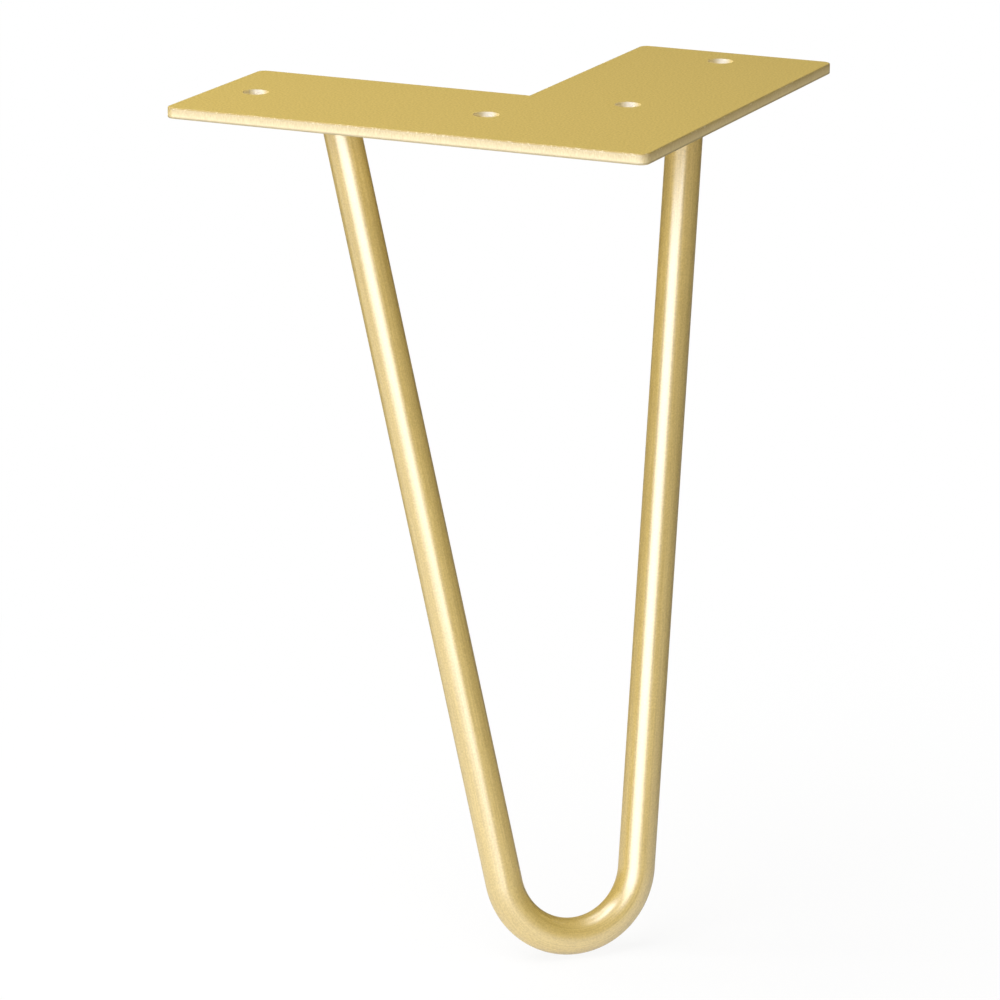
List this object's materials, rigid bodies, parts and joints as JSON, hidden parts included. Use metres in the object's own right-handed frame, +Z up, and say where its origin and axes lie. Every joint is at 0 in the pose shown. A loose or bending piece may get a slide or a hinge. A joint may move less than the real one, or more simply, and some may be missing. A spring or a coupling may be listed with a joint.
{
  "type": "hairpin table leg",
  "caption": "Satin gold hairpin table leg: round steel bar bent into a leaning V with a rounded foot, welded by its ends under a flat L-shaped plate with plain screw holes.",
  "frame": {"origin": "on the plate's top face, where the centrelines of its two arms cross; the foot stands straight below it", "axes": "+Z up, out of the top face towards the table top; -X along the left arm; +Y along the rear arm"},
  "size_m": [0.1359, 0.1359, 0.2286],
  "materials": {
    "gold_plate": "satin",
    "gold_bar": "satin",
    "gold_weld": "satin"
  },
  "bodies": {
    "root": {"mounting_plate": "gold_plate", "hairpin_rod": "gold_bar", "left_weld_bead": "gold_weld", "rear_weld_bead": "gold_weld"}
  },
  "joints": []
}
